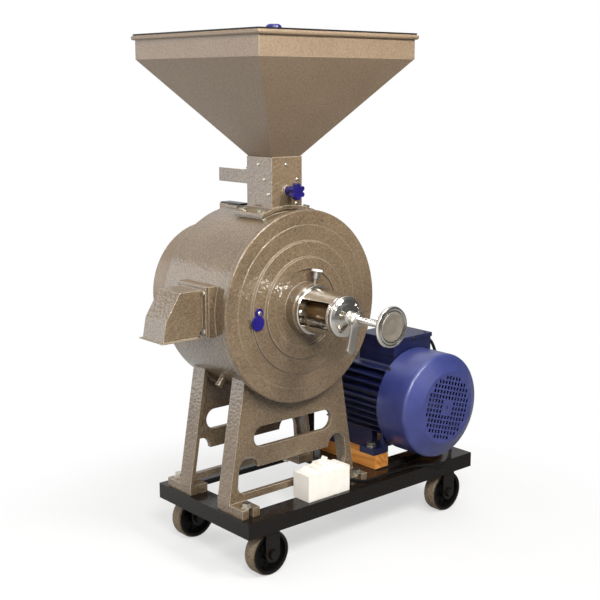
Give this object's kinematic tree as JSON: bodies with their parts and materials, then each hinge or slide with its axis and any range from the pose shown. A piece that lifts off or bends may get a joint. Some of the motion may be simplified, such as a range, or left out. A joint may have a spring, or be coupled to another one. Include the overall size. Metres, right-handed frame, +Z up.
{
  "type": "stone flour mill",
  "caption": "Belt-driven vertical stone flour mill: square hopper with feed slide, round drum with outlet chute, screw-set stones, electric motor, on a wheeled base",
  "frame": {"origin": "on the floor, below the middle of the object's box", "axes": "+Z up, +X towards the motor, -Y towards the handwheel"},
  "size_m": [0.763, 0.558, 1.0538],
  "materials": {
    "hammertone": "grey-brown hammertone paint with a dimpled gloss",
    "black_frame": "gloss black paint, dusty on the flats",
    "wheel_iron": "dark cast wheels, worn on the tread",
    "zinc_fixings": "zinc plated fixings",
    "stone": "coarse emery grinding stone",
    "machined_iron": "turned cast iron",
    "shaft_steel": "turned steel",
    "oiled_steel": "greased brown steel",
    "belt_rubber": "black belt rubber",
    "chrome": "bright chrome plate",
    "blue_plastic": "dark blue moulded plastic",
    "white_plastic": "warm white moulded plastic",
    "motor_blue": "satin navy blue enamel",
    "black_plastic": "matt black plastic",
    "cable_rubber": "black rubber sheath",
    "wood": "orange stained hardwood"
  },
  "bodies": {
    "frame": {"front_stand": "hammertone", "rear_stand": "hammertone", "drum_casing": "hammertone", "front_cover": "hammertone", "belt_guard": "hammertone", "hopper": "hammertone", "feed_neck": "hammertone", "slide_tray": "hammertone", "outlet_chute": "hammertone", "front_rail": "black_frame", "rear_rail": "black_frame", "left_end_rail": "black_frame", "right_end_rail": "black_frame", "motor_subframe": "black_frame", "wheel_brackets": "black_frame", "guard_stays": "black_frame", "axle_bolts": "black_frame", "hex_bolts": "zinc_fixings", "small_screws": "zinc_fixings", "fixed_stone": "stone", "shaft_bearings": "shaft_steel", "grease_cup": "shaft_steel", "drive_belts": "belt_rubber", "adjuster_barrel": "chrome", "dome_cap": "chrome", "cap_ring": "blue_plastic", "switch_box": "white_plastic", "switch_block": "white_plastic", "motor_frame": "motor_blue", "motor_end_shields": "motor_blue", "fan_cover": "motor_blue", "terminal_box": "motor_blue", "terminal_lid": "motor_blue", "cable_gland": "black_plastic", "power_cable": "cable_rubber", "wood_blocks": "wood"},
    "wheel_fl": {"wheel_front_left": "wheel_iron"},
    "wheel_fr": {"wheel_front_right": "wheel_iron"},
    "wheel_rl": {"wheel_rear_left": "wheel_iron"},
    "wheel_rr": {"wheel_rear_right": "wheel_iron"},
    "sleeve": {"thrust_sleeve": "oiled_steel"},
    "handwheel": {"handwheel": "chrome", "adjusting_screw": "chrome"},
    "mill_rotor": {"main_shaft": "shaft_steel", "runner_holder": "machined_iron", "runner_stone": "stone", "mill_pulley": "machined_iron"},
    "motor_rotor": {"motor_shaft": "shaft_steel", "cooling_fan": "black_plastic", "motor_pulley": "machined_iron"},
    "lock": {"lock_nut": "chrome"},
    "flap": {"feed_flap": "shaft_steel", "star_knob": "blue_plastic"},
    "gate": {"slide_gate": "shaft_steel"},
    "lid": {"hopper_lid": "black_frame", "lid_knob": "blue_plastic"},
    "tag": {"tag_cover": "blue_plastic"},
    "grease": {"grease_cap": "white_plastic"},
    "toggle": {"switch_toggle": "white_plastic"}
  },
  "joints": [
    {"name": "wheel_fl_spin", "type": "hinge", "parent": "frame", "child": "wheel_fl", "pos_m": [-0.1935, -0.048, 0.045], "axis": [0, 1, 0], "continuous": true},
    {"name": "wheel_fr_spin", "type": "hinge", "parent": "frame", "child": "wheel_fr", "pos_m": [0.3165, -0.048, 0.045], "axis": [0, 1, 0], "continuous": true},
    {"name": "wheel_rl_spin", "type": "hinge", "parent": "frame", "child": "wheel_rl", "pos_m": [-0.1935, 0.198, 0.045], "axis": [0, 1, 0], "continuous": true},
    {"name": "wheel_rr_spin", "type": "hinge", "parent": "frame", "child": "wheel_rr", "pos_m": [0.3165, 0.198, 0.045], "axis": [0, 1, 0], "continuous": true},
    {"name": "stone_set", "type": "slide", "parent": "frame", "child": "sleeve", "axis": [0, 1, 0], "range_m": [-0.000416, 0.000416]},
    {"name": "handwheel_turn", "type": "hinge", "parent": "sleeve", "child": "handwheel", "pos_m": [-0.0885, -0.277, 0.516], "axis": [0, 1, 0], "range_deg": [-100, 100]},
    {"name": "mill_spin", "type": "hinge", "parent": "sleeve", "child": "mill_rotor", "pos_m": [-0.0885, 0.063, 0.516], "axis": [0, 1, 0], "continuous": true},
    {"name": "motor_spin", "type": "hinge", "parent": "frame", "child": "motor_rotor", "pos_m": [0.2465, 0.063, 0.266], "axis": [0, 1, 0], "continuous": true},
    {"name": "lock_turn", "type": "hinge", "parent": "frame", "child": "lock", "pos_m": [-0.0885, -0.185, 0.516], "axis": [0, 1, 0], "range_deg": [-60, 30]},
    {"name": "feed_turn", "type": "hinge", "parent": "frame", "child": "flap", "pos_m": [-0.0885, 0.05, 0.739], "axis": [0, 1, 0], "range_deg": [0, 75]},
    {"name": "gate_pull", "type": "slide", "parent": "frame", "child": "gate", "axis": [0, 1, 0], "range_m": [0, 0.068]},
    {"name": "lid_lift", "type": "slide", "parent": "frame", "child": "lid", "axis": [0, 0, 1], "range_m": [0, 0.12]},
    {"name": "tag_swing", "type": "hinge", "parent": "frame", "child": "tag", "pos_m": [-0.2044, -0.044, 0.521], "axis": [0, 1, 0], "range_deg": [0, 100]},
    {"name": "grease_turn", "type": "hinge", "parent": "frame", "child": "grease", "pos_m": [-0.0885, -0.0585, 0.516], "axis": [0.2079, 0, 0.9781], "range_deg": [0, 180]},
    {"name": "toggle_flip", "type": "hinge", "parent": "frame", "child": "toggle", "pos_m": [-0.043, -0.0415, 0.188], "axis": [0, 1, 0], "range_deg": [-64, 0]}
  ],
  "couplings": [
    {"joint": "handwheel_turn", "follows": "stone_set", "rad_per_m": 4188.8},
    {"joint": "motor_spin", "follows": "mill_spin", "ratio": 2}
  ]
}
